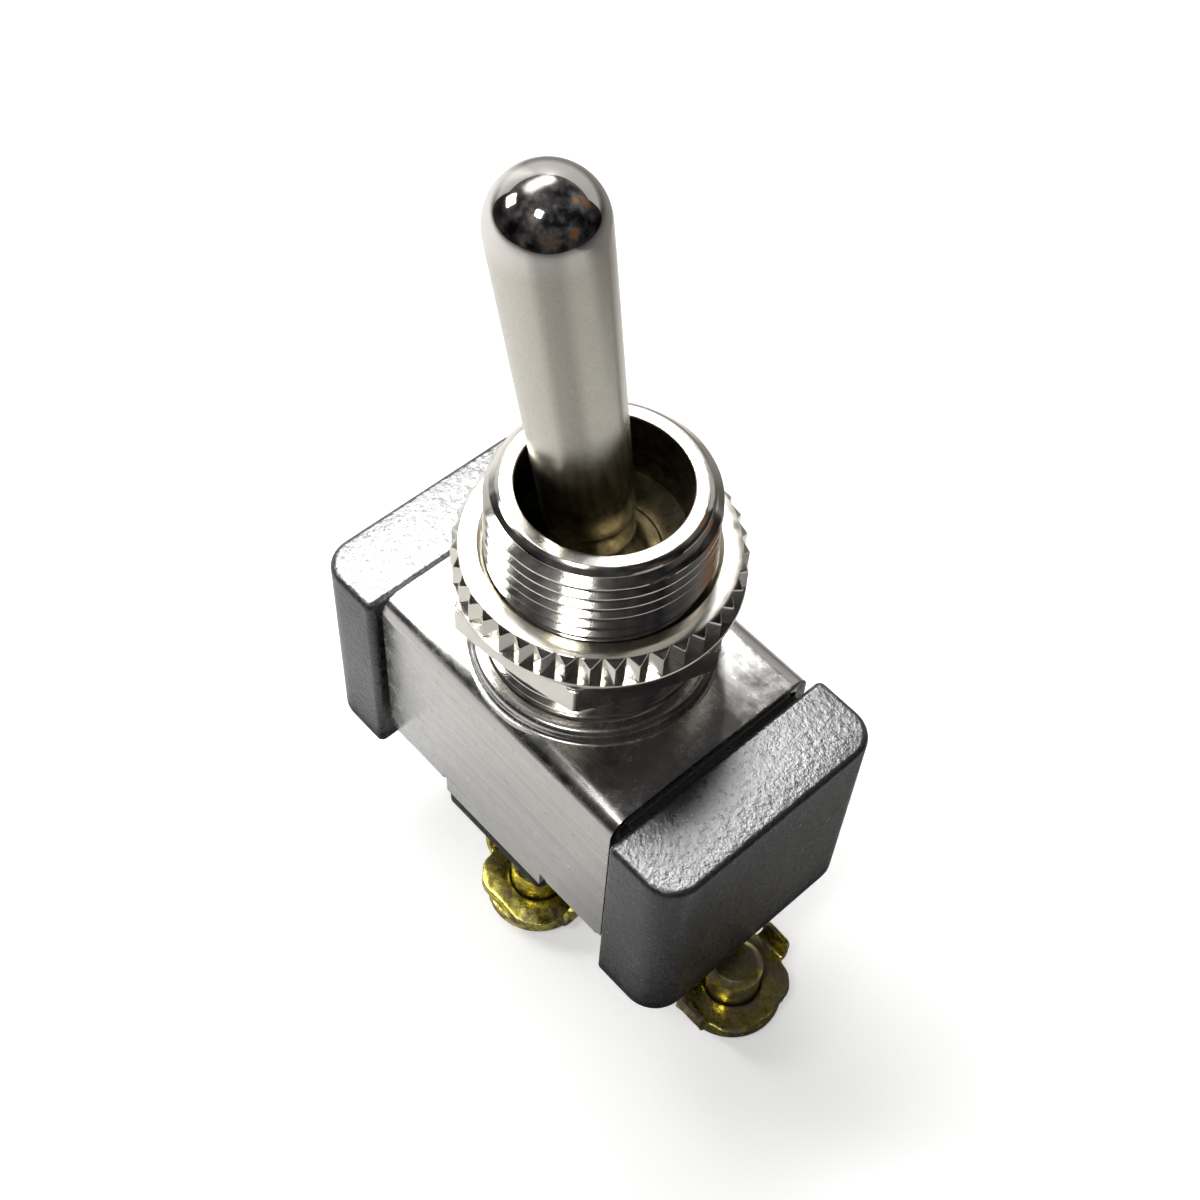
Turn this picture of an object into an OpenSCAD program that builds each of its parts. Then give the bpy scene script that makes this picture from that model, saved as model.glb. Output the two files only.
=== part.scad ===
// Panel toggle switch: single pole, on-off, metal bat handle, two screw terminals.
// Millimetres. Z runs up the threaded bushing, X along the body, and the handle swings in XZ.
// The origin is on the bushing axis in the panel's rear plane, the top of the hex back nut.
// Inside the modules, heights are counted from the flat top of the steel frame.
// The handle is drawn at its stop towards -X, with the circuit closed.
// The bushing's thread is cut as plain rings of its pitch and depth, without the helix.

/* [Base moulding] */
// length of the base along X
body_length = 28.9; // [28.4:0.1:32]
// width of the base across the shoulders
body_width = 15.74; // [15:0.02:18]
// height of the base, from shoulder top to underside
body_height = 14; // [13.6:0.1:17]
// how far the shoulder tops lie below the frame's top
shoulder_drop = 0.6; // [0.2:0.1:1]
// length of each end shoulder along X
shoulder_length = 4.75; // [3.5:0.05:5.5]
// vertical corner radius at the outer ends
shoulder_corner = 2; // [1:0.1:3]
// rounding of the shoulders' top edges and of their corners beside the frame
shoulder_edge = 0.4; // [0.2:0.05:0.6]
// gap between the fixed contact's head and the end of the cavity
cavity_gap = 0.1; // [0.05:0.05:0.3]
// width of the cavity that holds the mechanism
cavity_width = 8.8; // [8.6:0.1:9.6]
// vertical corner radius of the cavity
cavity_corner = 0.9; // [0.4:0.1:1.2]
// thickness of the floor under the cavity
floor_thickness = 3.2; // [2.4:0.1:3.6]
// length of the foot between the frame's tabs
foot_length = 8.3; // [7:0.1:8.6]
// depth of the recesses that key the terminal straps
strap_recess = 0.5; // [0.3:0.05:0.8]

/* [Frame] */
// steel sheet thickness
sheet = 0.8; // [0.6:0.05:1]
// width of the frame over its two sides
frame_width = 14.56; // [14:0.02:15.2]
// depth of the sides below the frame's top
frame_depth = 13.75; // [13.4:0.05:14]
// gap between the frame's ends and the shoulders
frame_end_gap = 0.4; // [0.2:0.05:0.8]
// outer bend radius
bend_radius = 1.28; // [1:0.02:1.6]
// height of the round boss under the nuts
boss_height = 0.8; // [0.5:0.05:1]
// radius of the boss at its wall
boss_radius = 6.7; // [6.4:0.05:7]
// rounding of the boss's top edge
boss_round = 0.45; // [0.2:0.05:0.5]
// fillet at the foot of the boss
boss_fillet = 0.3; // [0.1:0.05:0.4]
// how far each tab folds in under the base
tab_reach = 2.1; // [1.5:0.1:2.4]
// width of each tab
tab_width = 4.2; // [3:0.1:4.4]
// thickness of the insulating card under the frame
card_thickness = 0.3; // [0.2:0.05:0.4]

/* [Bushing] */
// crest diameter of the thread
thread_diameter = 11.9; // [11.5:0.05:12.3]
// distance between threads, 32 to the inch
thread_pitch = 0.794; // [0.7:0.001:1]
// depth of the thread
thread_depth = 0.46; // [0.3:0.01:0.5]
// height of the rim above the frame's top
bushing_height = 13.4; // [12.8:0.1:15]
// bore around the handle
bore_diameter = 8.84; // [8.6:0.02:9.2]
// chamfer that leads onto the thread
lead_chamfer = 0.72; // [0.5:0.02:0.9]
// opening above the ball socket
throat_diameter = 6.4; // [6:0.1:6.6]
// diameter where the bushing passes through the frame
bushing_neck = 10.2; // [10:0.1:10.6]
// diameter of the rim staked under the frame
stake_diameter = 11.4; // [11:0.1:11.6]
// thickness of that rim
stake_thickness = 0.7; // [0.5:0.05:0.75]

/* [Nuts] */
// thickness of the hex nut between the thread and its flats
hex_wall = 0.85; // [0.7:0.05:1.3]
// hex nut height
hex_height = 2.4; // [2:0.1:2.8]
// corner chamfer of the hex nut, measured down the corner
hex_chamfer = 0.35; // [0.2:0.05:0.5]
// height of the hex nut's underside above the boss
hex_lift = 3.5; // [1:0.05:3.6]
// turn of the hex nut about Z
hex_turn = -51.4; // [-60:0.1:0]
// thickness of the ring nut between the thread and its knurl's crests
ring_wall = 1.7; // [1.5:0.05:2.2]
// ring nut height
ring_height = 2; // [1.6:0.1:2.4]
// bevel on the ring nut's upper edge
ring_bevel = 0.42; // [0.3:0.02:0.6]
// number of knurl teeth
knurl_count = 39; // [36:1:44]
// depth of the knurl
knurl_depth = 0.5; // [0.3:0.05:0.6]
// plain band below the knurl
ring_flange = 0.24; // [0.2:0.02:0.4]
// radial clearance of the nuts on the thread
thread_clearance = 0.03; // [0.02:0.01:0.06]

/* [Handle] */
// height of the handle's pivot above the frame's top
pivot_height = 6; // [5.6:0.1:6.4]
// half the handle's swing, in degrees
swing = 12.6; // [10:0.1:12.6]
// diameter of the pivot ball
ball_diameter = 7.6; // [7.2:0.1:7.8]
// radial clearance of the ball in its socket
ball_clearance = 0.05; // [0.03:0.01:0.08]
// diameter of the neck above the ball
neck_diameter = 4.5; // [4.2:0.1:4.6]
// diameter of the handle where its taper starts
stem_diameter = 4.72; // [4.6:0.02:4.8]
// diameter of the round tip
tip_diameter = 5.86; // [5.4:0.02:6.4]
// distance from the pivot to the start of the stem
stem_start = 4.5; // [4.3:0.1:5]
// distance from the pivot to the centre of the round tip
tip_reach = 21.24; // [18:0.02:24]
// distance from the pivot to the end of the tail
tail_reach = 9.4; // [9:0.1:9.6]
// tail diameter
tail_diameter = 4.6; // [4.4:0.1:4.8]
// bore in the tail for the spring and plunger
tail_bore = 3.34; // [3.2:0.02:3.4]
// diameter of the cross pin
pin_diameter = 1.6; // [1.4:0.05:1.7]
// length of the cross pin
pin_length = 9.6; // [9.2:0.1:9.8]
// radial clearance of the pin in its slots
pin_clearance = 0.05; // [0.03:0.01:0.08]

/* [Plunger and spring] */
// radial clearance of the plunger in the tail
plunger_clearance = 0.05; // [0.03:0.01:0.08]
// distance from the pivot to the top of the plunger
plunger_top = 5.4; // [5:0.1:6]
// diameter of the plunger's nose
nose_diameter = 2.6; // [2.2:0.1:2.8]
// distance from the pivot to the centre of the nose
nose_reach = 11.4; // [11.2:0.02:11.6]
// distance from the pivot to the blind end of the tail bore
spring_seat = 1.5; // [1.3:0.05:2]
// wire diameter of the spring
spring_wire = 0.42; // [0.3:0.02:0.5]
// outer diameter of the spring
spring_diameter = 2.9; // [2.4:0.05:3]
// number of turns
spring_turns = 5.5; // [4:0.5:6]

/* [Rocker and contacts] */
// depth of the rocker's axis below the frame's top
rocker_depth = 9.4; // [9.2:0.05:9.5]
// tilt of the rocker to either side, in degrees
rocker_tilt = 7; // [6:0.1:7]
// thickness of the contact blade
blade_thickness = 0.7; // [0.5:0.05:0.8]
// width of the blade's arms
arm_width = 6; // [5:0.1:6.4]
// radius of the bracket's round tops, which the blade rocks on
nub_radius = 0.8; // [0.6:0.05:0.9]
// clearance between the blade and those tops
nub_clearance = 0.04; // [0.02:0.01:0.08]
// length of the insulating driver block
driver_length = 6.6; // [6.2:0.1:6.8]
// width of the driver block
driver_width = 5.2; // [4.6:0.1:5.6]
// height of the driver block's ends above the rocker's axis
driver_height = 3.7; // [3.5:0.05:3.8]
// clearance between the plunger's nose and the driver's valley
valley_clearance = 0.03; // [0.02:0.01:0.06]
// distance of the contacts from the rocker's axis
contact_reach = 6.8; // [6.5:0.05:6.9]
// diameter of the moving contact
button_diameter = 2.8; // [2.4:0.1:3]
// height of the moving contact
button_height = 0.45; // [0.35:0.05:0.55]
// radius of the moving contact's domed face
button_dome = 4; // [3:0.1:6]
// gap left between the closed contacts
contact_gap = 0.012; // [0.01:0.002:0.03]
// thickness of the bracket that carries the rocker
bracket_sheet = 0.7; // [0.5:0.05:0.8]
// half the length of the bracket's walls at the floor
bracket_foot = 2; // [1.4:0.1:2.4]
// width of the rib that stops the rocker on its open side
rib_width = 1.6; // [1.2:0.1:2]

/* [Terminals] */
// thickness of the terminal straps
strap = 0.9; // [0.7:0.05:1]
// width of a strap's pad and leg
strap_width = 5.2; // [4.6:0.1:5.4]
// width of a strap over its ears
flange_width = 9.2; // [9:0.1:10]
// width of the tongue between the ears
tongue_width = 6.7; // [6.2:0.1:7]
// drop from the base's underside to the tongue's top
flange_drop = 6.7; // [5:0.1:8]
// reach of the tongue beyond the leg
tongue_reach = 5.4; // [5.2:0.1:6]
// height of the ears
ear_height = 1.5; // [1:0.1:2]
// length of the ears
ear_length = 2.3; // [2:0.1:2.6]
// plain tongue between the bend and the ears
ear_setback = 0.7; // [0.6:0.1:1]
// corner radius of the ears
ear_corner = 0.9; // [0.4:0.1:1]
// distance of the end terminal's rivet from the bushing axis
end_rivet_x = 7; // [6.8:0.05:7.2]
// distance from that rivet to the leg
end_leg = 4.6; // [4:0.1:4.8]
// shift of the common terminal along X
common_shift = 0.8; // [0:0.1:1]
// distance of the common rivet behind the bushing axis
common_rivet_y = 1.2; // [1:0.1:1.3]
// distance from the common rivet to its leg
common_leg = 3.2; // [3.2:0.1:3.4]
// rivet shank diameter
rivet_diameter = 2.4; // [2:0.1:2.6]
// rivet head diameter
rivet_head = 4; // [3.6:0.1:4]
// clearance between rivets, screws and their holes
hole_clearance = 0.03; // [0.02:0.01:0.1]
// screw shank diameter
screw_diameter = 3.4; // [3:0.1:3.5]
// screw head diameter
screw_head = 6.4; // [5.8:0.1:6.6]
// screw head height
screw_head_height = 1.7; // [1.4:0.1:2]
// how far the shank stands above the tongue
screw_stand = 2.3; // [2.2:0.1:3]

/* [Hidden] */
$fn = 64;
tiny = 0.01;

// levels from the frame's top, and positions that several modules share
shoulder_top = -shoulder_drop;
base_bottom = shoulder_top - body_height;
shoulder_face = body_length / 2 - shoulder_length;
frame_half = shoulder_face - frame_end_gap;
card_bottom = -sheet - card_thickness;
cavity_floor = base_bottom + floor_thickness;
cavity_half = end_rivet_x + rivet_head / 2 + cavity_gap;
side_inner = frame_width / 2 - sheet;
seat_clearance = 0.02;
core_half = side_inner - seat_clearance;
ledge = -frame_depth + sheet;
inner_bend = bend_radius - sheet;
bend_centre = frame_width / 2 - bend_radius;
hex_bottom = boss_height + hex_lift;
panel_plane = hex_bottom + hex_height;
socket_radius = ball_diameter / 2 + ball_clearance;
throat_rise = sqrt(pow(socket_radius, 2) - pow(throat_diameter / 2, 2));
throat_slope = (bore_diameter - throat_diameter) / 2;
nut_bore = thread_diameter / 2 + thread_clearance;
plunger_radius = tail_bore / 2 - plunger_clearance;
tab_centre = (foot_length / 2 + frame_half) / 2;

// the driver's valley follows the nose while the handle and the rocker turn together
pivot_gap = pivot_height + rocker_depth;
nose_end_x = nose_reach * sin(swing) * cos(rocker_tilt)
    - (pivot_gap - nose_reach * cos(swing)) * sin(rocker_tilt);
nose_end_z = nose_reach * sin(swing) * sin(rocker_tilt)
    + (pivot_gap - nose_reach * cos(swing)) * cos(rocker_tilt);
nose_rise = nose_end_z - (pivot_gap - nose_reach);
path_radius = (pow(nose_end_x, 2) + pow(nose_rise, 2)) / (2 * nose_rise);
valley_radius = path_radius + nose_diameter / 2 + valley_clearance;
valley_centre = pivot_gap - nose_reach + path_radius;

// the fixed contact's face lies just under the lowest point of the tilted dome
contact_face = -rocker_depth - contact_reach * sin(rocker_tilt)
    + (button_dome - button_height) * cos(rocker_tilt) - button_dome - contact_gap;
blade_arch = nub_radius + nub_clearance + blade_thickness;
peg_x = blade_arch + (driver_length / 2 - blade_arch) / 2;
wall_y = cavity_width / 2 - 0.25 - bracket_sheet;
blade_half = contact_reach + button_diameter / 2;
// the open side comes to rest on a rib of the base
stop_outer = contact_reach + 0.8;
stop_face = -rocker_depth - stop_outer * tan(rocker_tilt) - contact_gap;

// a plan outline with its own radius at each corner
module corner_plan(x0, x1, y0, y1, r_low, r_high) {
    difference() {
        translate([x0, y0]) square([x1 - x0, y1 - y0]);
        for (y = [y0, y1]) {
            sy = y == y0 ? 1 : -1;
            translate([x0, y]) corner_cut(r_low, 1, sy);
            translate([x1, y]) corner_cut(r_high, -1, sy);
        }
    }
}

module corner_cut(r, sx, sy) {
    difference() {
        translate([sx > 0 ? -1 : -r, sy > 0 ? -1 : -r]) square(r + 1);
        translate([sx * r, sy * r]) circle(r);
    }
}

// a quarter ring, the section of one bend
module bend_section(inner, thickness) {
    intersection() {
        difference() {
            circle(inner + thickness);
            circle(inner);
        }
        square(inner + thickness);
    }
}

// turns a plan drawn in XZ into a solid along Y
module along_y(width) {
    rotate([90, 0, 0]) translate([0, 0, -width / 2]) linear_extrude(width) children();
}

// moves a piece from the frame's datum to the row's origin
module placed() {
    translate([0, 0, -panel_plane]) children();
}

// turns the handle's pieces to their stop; along the handle is +Z
module at_handle() {
    placed() translate([0, 0, pivot_height]) rotate([0, -swing, 0]) children();
}

// turns the rocker's pieces to the closed side
module at_rocker() {
    placed() translate([0, 0, -rocker_depth]) rotate([0, rocker_tilt, 0]) children();
}

// ---- base moulding ----

// one end block with rounded vertical corners and a rolled top edge
module shoulder() {
    x0 = shoulder_face;
    x1 = body_length / 2;
    y1 = body_width / 2;
    e = shoulder_edge;
    far = shoulder_corner - e;
    translate([0, 0, base_bottom]) linear_extrude(body_height - e)
        corner_plan(x0, x1, -y1, y1, e, shoulder_corner);
    translate([0, 0, shoulder_top - 2 * e]) linear_extrude(2 * e) difference() {
        translate([x0 + e, e - y1]) square([x1 - x0 - 2 * e, 2 * y1 - 2 * e]);
        for (s = [-1, 1]) translate([x1 - e, s * (y1 - e)]) corner_cut(far, -1, -s);
    }
    // the roll: straight runs, balls at the inner corners and quarter rings at the outer ones
    translate([x0 + e, 0, shoulder_top - e]) rotate([90, 0, 0])
        cylinder(h = 2 * (y1 - e), r = e, center = true);
    translate([x1 - e, 0, shoulder_top - e]) rotate([90, 0, 0])
        cylinder(h = 2 * (y1 - e - far), r = e, center = true);
    for (s = [-1, 1]) translate([0, s * (y1 - e), shoulder_top - e]) {
        translate([x0 + e, 0, 0]) rotate([0, 90, 0]) cylinder(h = x1 - x0 - 2 * e - far, r = e);
        translate([x0 + e, 0, 0]) sphere(e);
        translate([x1 - e - far, -s * far, 0]) rotate(s > 0 ? 0 : -90)
            rotate_extrude(angle = 90) translate([far, 0]) circle(e);
    }
}

module base() color([0.2, 0.2, 0.2]) placed() {
    difference() {
        union() {
            shoulder();
            mirror([1, 0, 0]) shoulder();
            // core between the shoulders, cut back at the top to clear the frame's bends
            rotate([90, 0, 90]) translate([0, 0, -shoulder_face - tiny])
                linear_extrude(2 * (shoulder_face + tiny)) polygon([
                    [-core_half, base_bottom], [core_half, base_bottom],
                    [core_half, -bend_radius - inner_bend / 2], [bend_centre, card_bottom],
                    [-bend_centre, card_bottom], [-core_half, -bend_radius - inner_bend / 2]
                ]);
            // foot that fills the space between the frame's tabs
            translate([0, 0, base_bottom]) linear_extrude(-frame_depth - seat_clearance - base_bottom)
                corner_plan(-foot_length / 2, foot_length / 2, -frame_width / 2, frame_width / 2, 0.5, 0.5);
        }
        translate([0, 0, cavity_floor]) linear_extrude(body_height) corner_plan(-cavity_half, cavity_half,
            -cavity_width / 2, cavity_width / 2, cavity_corner, cavity_corner);
        tab_notches();
        strap_seats();
    }
    // rib that stops the rocker on its open side
    translate([-stop_outer, -arm_width / 2, cavity_floor - tiny])
        cube([rib_width, arm_width, stop_face - cavity_floor + tiny]);
}

// room for the frame's tabs, which fold under ledges of the base, and for their bends
module tab_notches() {
    run = frame_half - foot_length / 2;
    low = base_bottom - tiny;
    deep = side_inner - tab_reach - 0.5;
    for (x = [-tab_centre, tab_centre], s = [0, 1]) mirror([0, s, 0]) translate([x - run / 2, 0, low]) {
        translate([0, deep, 0]) cube([run, side_inner + 0.5 - deep, ledge + seat_clearance - low]);
        translate([0, bend_centre, 0]) cube([run, side_inner + 0.5 - bend_centre, bend_radius - frame_depth - low]);
    }
}

// recesses that key the two straps, and the rivet holes through the floor
module strap_seats() {
    side = strap_width / 2 + 0.1;
    end_place_on_base() {
        translate([-side, -side, -1]) cube([side + end_leg + 0.2, 2 * side, 1 + strap_recess]);
        translate([0, 0, -1]) cylinder(h = floor_thickness + 2, r = rivet_diameter / 2 + hole_clearance);
    }
    common_place_on_base() {
        translate([-side, -side, -1]) cube([side + common_leg + 0.2, 2 * side, 1 + strap_recess]);
        translate([0, 0, -1]) cylinder(h = floor_thickness + 2, r = rivet_diameter / 2 + hole_clearance);
    }
}

// ---- frame ----

module boss_section() {
    r0 = bushing_neck / 2 + seat_clearance;
    difference() {
        union() {
            translate([r0, 0]) square([boss_radius - boss_round - r0, boss_height]);
            translate([r0, 0]) square([boss_radius - r0, boss_height - boss_round]);
            translate([boss_radius - boss_round, boss_height - boss_round]) circle(boss_round);
            translate([boss_radius - tiny, -sheet / 2]) square([boss_fillet + tiny, sheet / 2 + boss_fillet]);
        }
        translate([boss_radius + boss_fillet, boss_fillet]) circle(boss_fillet);
        translate([0, -sheet]) square([stake_diameter / 2 + 0.1, sheet]);
    }
}

module frame() color([0.75, 0.74, 0.7]) placed() {
    difference() {
        channel();
        cylinder(h = 3 * sheet, r = boss_radius - tiny, center = true);
    }
    rotate_extrude() boss_section();
}

// the channel section, with the four tabs folded under the base
module channel() {
    half = frame_width / 2;
    c = bend_centre;
    rotate([90, 0, 90]) translate([0, 0, -frame_half]) linear_extrude(2 * frame_half) {
        translate([-c, -sheet]) square([2 * c, sheet]);
        for (s = [0, 1]) mirror([s, 0]) {
            translate([c, -bend_radius]) bend_section(inner_bend, sheet);
            translate([side_inner, -frame_depth + sheet + inner_bend])
                square([sheet, frame_depth - sheet - inner_bend - bend_radius]);
        }
    }
    for (x = [-tab_centre, tab_centre])
        translate([x - tab_width / 2, 0, 0]) rotate([90, 0, 90]) linear_extrude(tab_width)
            for (s = [0, 1]) mirror([s, 0]) {
                translate([c, -frame_depth + bend_radius]) mirror([0, 1]) bend_section(inner_bend, sheet);
                translate([side_inner - tab_reach, -frame_depth]) square([tab_reach - inner_bend, sheet]);
            }
    // plain lower edge beside the tabs, over the foot
    rotate([90, 0, 90]) translate([0, 0, -frame_half]) linear_extrude(2 * frame_half)
        for (s = [0, 1]) mirror([s, 0]) translate([side_inner, -frame_depth + bend_radius])
            square([sheet, inner_bend]);
    for (s = [-1, 1])
        translate([-foot_length / 2, s * (half - sheet / 2) - sheet / 2, -frame_depth])
            cube([foot_length, sheet, bend_radius + tiny]);
}

// fish-paper card that closes the base under the frame
module insulator_card() color([0.5, 0.45, 0.36]) placed() difference() {
    slot = tail_diameter / 2 + 0.6;
    travel = 1.6;
    translate([-frame_half, -bend_centre, card_bottom]) cube([2 * frame_half, 2 * bend_centre, card_thickness]);
    for (x = [-travel, travel]) translate([x, 0, card_bottom - 1]) cylinder(h = 3, r = slot);
    translate([-travel, -slot, card_bottom - 1]) cube([2 * travel, 2 * slot, 3]);
}

// ---- bushing and nuts ----

module bushing() {
    flare_top = pivot_height - 3;
    throat_z = pivot_height + throat_rise;
    crest = thread_diameter / 2;
    root = crest - thread_depth;
    thread_top = bushing_height - lead_chamfer;
    rings = floor((thread_top - boss_height) / thread_pitch);
    grooves = [for (i = [rings - 1 : -1 : 0], k = [0 : 3])
        [k == 0 || k == 3 ? crest : root, thread_top - (i + [0.94, 0.56, 0.44, 0.06][k]) * thread_pitch]];
    color([0.8, 0.78, 0.72]) placed() difference() {
        union() {
            rotate_extrude() polygon(concat([[0, boss_height], [crest, boss_height]], grooves,
                [[crest, thread_top], [crest - lead_chamfer, bushing_height], [0, bushing_height]]));
            translate([0, 0, -stake_thickness]) cylinder(h = boss_height + stake_thickness, r = bushing_neck / 2);
            translate([0, 0, -stake_thickness]) cylinder(h = stake_thickness, r = stake_diameter / 2);
        }
        // bore, throat, ball socket and the flared way for the tail
        translate([0, 0, throat_z + throat_slope])
            cylinder(h = bushing_height, r = bore_diameter / 2);
        translate([0, 0, throat_z]) cylinder(h = throat_slope, r1 = throat_diameter / 2, r2 = bore_diameter / 2);
        translate([0, 0, throat_z - 0.1]) cylinder(h = 0.2, r = throat_diameter / 2);
        translate([0, 0, pivot_height]) sphere(socket_radius);
        translate([0, 0, flare_top]) cylinder(h = pivot_height - flare_top, r = socket_radius);
        translate([0, 0, -stake_thickness - tiny])
            cylinder(h = flare_top + stake_thickness + 2 * tiny, r1 = socket_radius + 0.6, r2 = socket_radius);
        // slots that guide the cross pin
        translate([0, 0, pivot_height]) rotate([90, 0, 0])
            cylinder(h = pin_length + 0.2, r = pin_diameter / 2 + pin_clearance, center = true);
        translate([-pin_diameter / 2 - pin_clearance, -pin_length / 2 - 0.1, -stake_thickness - 1])
            cube([pin_diameter + 2 * pin_clearance, pin_length + 0.2, pivot_height + stake_thickness + 1]);
    }
}

module hex_nut() {
    flat = thread_diameter / 2 + hex_wall;
    corner = flat / cos(30);
    color([0.82, 0.8, 0.74]) placed() translate([0, 0, hex_bottom]) difference() {
        intersection() {
            rotate(hex_turn) cylinder(h = hex_height, r = corner, $fn = 6);
            // both faces chamfered, so each corner ends in an arc
            union() {
                translate([0, 0, hex_chamfer]) cylinder(h = hex_height - 2 * hex_chamfer, r = corner + 0.02);
                cylinder(h = hex_chamfer, r1 = flat, r2 = corner + 0.02);
                translate([0, 0, hex_height - hex_chamfer])
                    cylinder(h = hex_chamfer, r1 = corner + 0.02, r2 = flat);
            }
        }
        translate([0, 0, -1]) cylinder(h = hex_height + 2, r = nut_bore);
    }
}

module ring_nut() {
    r = thread_diameter / 2 + ring_wall;
    crest = r - 0.03;
    half_step = 180 / knurl_count;
    knurl = [for (i = [0 : 2 * knurl_count - 1])
        let (q = i % 2 == 0 ? crest : r - knurl_depth) [q * cos(i * half_step), q * sin(i * half_step)]];
    color([0.82, 0.8, 0.74]) placed() difference() {
        intersection() {
            union() {
                linear_extrude(2 * panel_plane) polygon(knurl);
                cylinder(h = panel_plane + ring_flange, r = r);
            }
            translate([0, 0, panel_plane]) union() {
                cylinder(h = ring_height - ring_bevel, r = r);
                translate([0, 0, ring_height - ring_bevel])
                    cylinder(h = ring_bevel, r1 = r, r2 = r - ring_bevel);
            }
        }
        cylinder(h = 2 * panel_plane, r = nut_bore);
    }
}

// ---- handle and what it carries ----

// bat, neck, ball and hollow tail are one turned piece
module bat_handle() color([0.72, 0.69, 0.64]) at_handle() difference() {
    union() {
        sphere(ball_diameter / 2);
        cylinder(h = stem_start, r = neck_diameter / 2);
        translate([0, 0, stem_start - 0.5]) cylinder(h = 0.5, r1 = neck_diameter / 2, r2 = stem_diameter / 2);
        translate([0, 0, stem_start])
            cylinder(h = tip_reach - stem_start, r1 = stem_diameter / 2, r2 = tip_diameter / 2);
        translate([0, 0, tip_reach]) sphere(tip_diameter / 2);
        translate([0, 0, -tail_reach]) cylinder(h = tail_reach, r = tail_diameter / 2);
    }
    translate([0, 0, -tail_reach - 1]) cylinder(h = tail_reach + 1 - spring_seat, r = tail_bore / 2);
    rotate([90, 0, 0]) cylinder(h = ball_diameter + 1, r = pin_diameter / 2, center = true);
}

module pivot_pin() color([0.6, 0.6, 0.62]) at_handle()
    rotate([90, 0, 0]) cylinder(h = pin_length, r = pin_diameter / 2, center = true);

// closed-end compression spring between the tail's blind end and the plunger
module handle_spring() {
    sides = 10;
    steps = 18;
    rings = round(spring_turns * steps);
    wire = spring_wire / 2;
    mean = spring_diameter / 2 - wire;
    rise = plunger_top - spring_seat - spring_wire - 2 * tiny;
    shut = 0.75;
    low = spring_wire * 1.02 * shut;
    function lift(t) = t < shut ? t * spring_wire * 1.02
        : t > spring_turns - shut ? rise - (spring_turns - t) * spring_wire * 1.02
        : low + (rise - 2 * low) * (t - shut) / (spring_turns - 2 * shut);
    points = [for (i = [0 : rings], j = [0 : sides - 1])
        let (t = i / steps, a = 360 * t, b = 360 * j / sides, q = mean + wire * cos(b))
        [q * cos(a), q * sin(a), lift(t) + wire * sin(b)]];
    skin = [for (i = [0 : rings - 1], j = [0 : sides - 1])
        let (k = (j + 1) % sides)
        [i * sides + j, (i + 1) * sides + j, (i + 1) * sides + k, i * sides + k]];
    ends = [[for (j = [0 : sides - 1]) j], [for (j = [sides - 1 : -1 : 0]) rings * sides + j]];
    color([0.55, 0.56, 0.58]) at_handle() translate([0, 0, -plunger_top + wire + tiny])
        polyhedron(points, concat(skin, ends), convexity = 10);
}

module plunger() {
    shoulder = tail_reach - 0.7;
    color([0.78, 0.66, 0.36]) at_handle() {
        translate([0, 0, -shoulder]) cylinder(h = shoulder - plunger_top, r = plunger_radius);
        translate([0, 0, -shoulder - 0.4]) cylinder(h = 0.4, r1 = nose_diameter / 2, r2 = plunger_radius);
        translate([0, 0, -nose_reach]) cylinder(h = nose_reach - shoulder, r = nose_diameter / 2);
        translate([0, 0, -nose_reach]) sphere(nose_diameter / 2);
    }
}

// ---- rocker ----

// insulating block with the valley that the plunger's nose runs in
module driver_block() color([0.45, 0.28, 0.16]) at_rocker() {
    difference() {
        translate([-driver_length / 2, -driver_width / 2, blade_thickness])
            cube([driver_length, driver_width, driver_height - blade_thickness]);
        translate([0, 0, valley_centre]) rotate([90, 0, 0])
            cylinder(h = driver_width + 1, r = valley_radius, center = true, $fn = 128);
        rotate([90, 0, 0]) cylinder(h = driver_width + 1, r = blade_arch + 0.02, center = true);
    }
    for (s = [-1, 1]) translate([s * peg_x, 0, -0.3]) {
        cylinder(h = blade_thickness + 0.3 + tiny, r = 0.55);
        cylinder(h = 0.3, r = 0.85);
    }
}

// one-piece rocking blade, arched where it sits on the bracket
module contact_blade() color([0.72, 0.45, 0.25]) at_rocker() difference() {
    union() {
        along_y(arm_width) translate([-blade_half, 0]) square([2 * blade_half, blade_thickness]);
        along_y(cavity_width - 0.5) {
            translate([-blade_arch - 0.6, 0]) square([2 * blade_arch + 1.2, blade_thickness]);
            intersection() {
                circle(blade_arch);
                translate([-blade_arch, 0]) square([2 * blade_arch, blade_arch]);
            }
        }
    }
    rotate([90, 0, 0]) cylinder(h = cavity_width, r = nub_radius + nub_clearance, center = true);
    for (s = [-1, 1]) translate([s * peg_x, 0, -1]) cylinder(h = 3, r = 0.55 + hole_clearance);
    translate([contact_reach, 0, -1]) cylinder(h = 3, r = 0.7 + hole_clearance);
}

// silver button riveted into the blade
module moving_contact() color([0.85, 0.85, 0.85]) at_rocker() translate([contact_reach, 0, 0]) {
    intersection() {
        translate([0, 0, -button_height - 0.5]) cylinder(h = button_height + 0.5, r = button_diameter / 2);
        translate([0, 0, button_dome - button_height]) sphere(button_dome);
    }
    translate([0, 0, -tiny]) cylinder(h = blade_thickness + 0.2, r = 0.7);
    translate([0, 0, blade_thickness]) cylinder(h = 0.25, r = 1.05);
}

// ---- fixed contacts and terminals ----

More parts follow.
